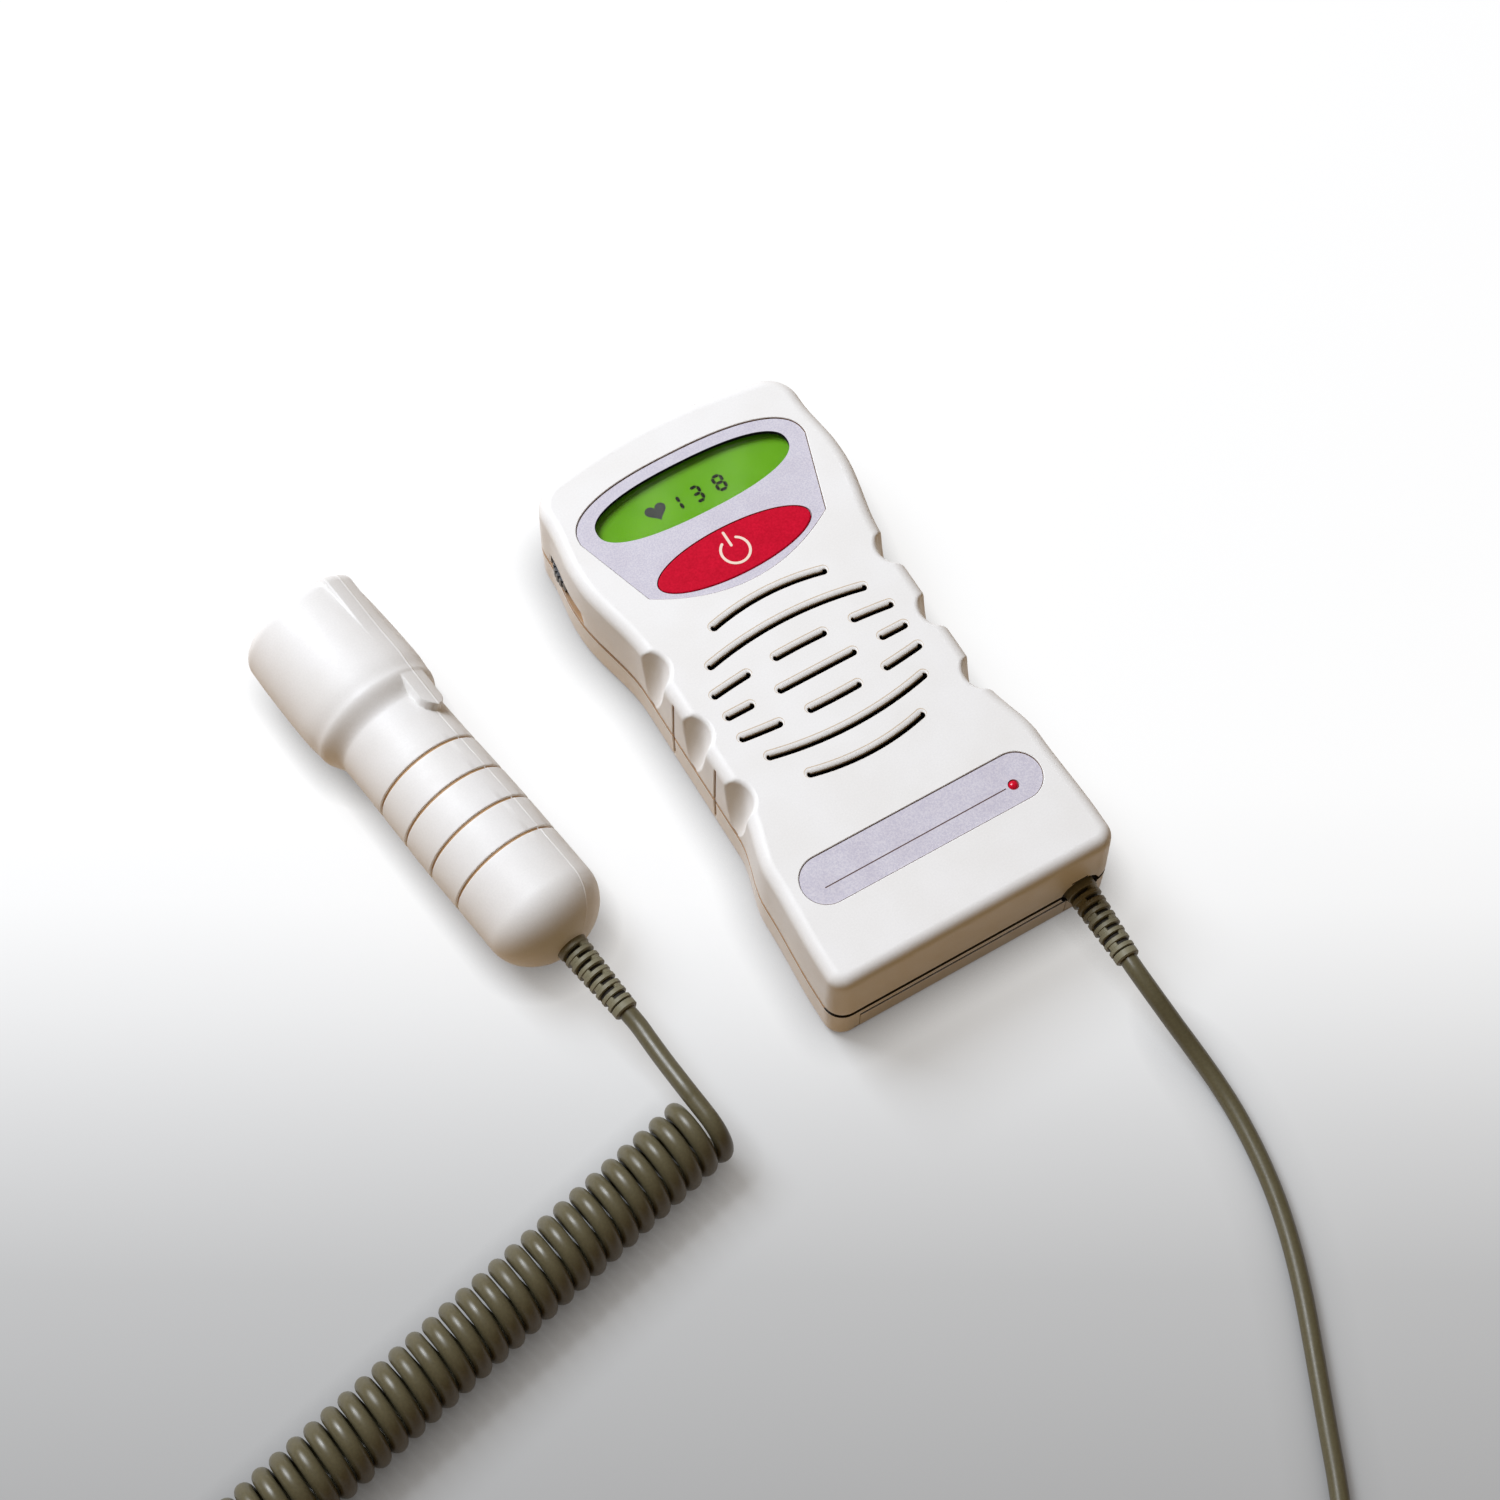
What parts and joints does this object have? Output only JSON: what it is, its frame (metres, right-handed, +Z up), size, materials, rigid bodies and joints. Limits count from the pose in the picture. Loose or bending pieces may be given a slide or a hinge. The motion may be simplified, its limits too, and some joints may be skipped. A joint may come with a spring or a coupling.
{
  "type": "fetal doppler monitor",
  "caption": "Handheld ultrasound heartbeat monitor with display, power button, speaker grille, volume wheel and battery door, and its round probe on a curly cord.",
  "frame": {"origin": "middle of the monitor case on the surface that its back rests on", "axes": "X across the case, with the volume wheel on the -X side; Y along the case, towards its display end; Z up, out of the face with the display and the speaker grille"},
  "size_m": [0.237, 0.3004, 0.0314],
  "materials": {
    "casing": "fine sandy texture, off-white",
    "black_plastic": "black moulded plastic",
    "blue_plastic": "moulded plastic body of a component",
    "battery_wrap": "plain film wrap of a block battery",
    "plated_metal": "plated steel",
    "fascia": "satin printed film in pale lilac grey",
    "clear_window": "clear glossy window",
    "green_display": "lit green display",
    "light_guide": "translucent white plastic",
    "circuit_board": "green solder mask",
    "ribbon": "amber film",
    "red_button": "satin red plastic",
    "red_light": "clear red lens",
    "black_rubber": "soft black rubber",
    "speaker_paper": "pressed black paper",
    "cord_rubber": "smooth olive grey rubber",
    "probe_lens": "smooth cast resin",
    "piezo_ceramic": "silvered ceramic"
  },
  "bodies": {
    "monitor": {"front_shell": "casing", "rear_shell": "casing", "battery_bay": "black_plastic", "block_battery": "battery_wrap", "battery_contacts": "plated_metal", "display_fascia": "fascia", "display_window": "clear_window", "display_glass": "green_display", "backlight": "light_guide", "display_board": "circuit_board", "display_screws": "plated_metal", "display_ribbon": "ribbon", "power_switch": "black_plastic", "speaker_gasket": "black_rubber", "speaker_frame": "plated_metal", "speaker_cone": "speaker_paper", "speaker_magnet": "plated_metal", "speaker_leads": "black_rubber", "main_board": "circuit_board", "board_screws": "plated_metal", "volume_pot": "blue_plastic", "indicator_light": "red_light", "light_board": "circuit_board", "label_plate": "fascia", "case_screws": "plated_metal", "monitor_strain_relief": "cord_rubber", "inner_lead": "cord_rubber", "lead_connector": "light_guide", "probe_upper_shell": "casing", "probe_lower_shell": "casing", "probe_face": "probe_lens", "probe_crystals": "piezo_ceramic", "probe_backing": "black_rubber", "probe_board": "circuit_board", "probe_inner_lead": "cord_rubber", "probe_strain_relief": "cord_rubber", "cord_lead": "cord_rubber", "coiled_cord": "cord_rubber", "probe_lead": "cord_rubber"},
    "power_key": {"power_button": "red_button", "switch_plunger": "light_guide"},
    "volume_control": {"volume_wheel": "black_plastic", "volume_shaft": "plated_metal"},
    "door": {"battery_door": "casing"}
  },
  "joints": [
    {"name": "power_key_travel", "type": "slide", "parent": "monitor", "child": "power_key", "axis": [0, 0, -1], "range_m": [0, 0.0006], "stiffness_N_per_m": 1500, "springref_m": -0.0003},
    {"name": "volume_wheel_turn", "type": "hinge", "parent": "monitor", "child": "volume_control", "pos_m": [-0.02605, 0.0513, 0.014], "axis": [0, 0, 1], "range_deg": [-135, 135]},
    {"name": "battery_door_slide", "type": "slide", "parent": "monitor", "child": "door", "axis": [0, -1, 0], "range_m": [0, 0.038]}
  ]
}
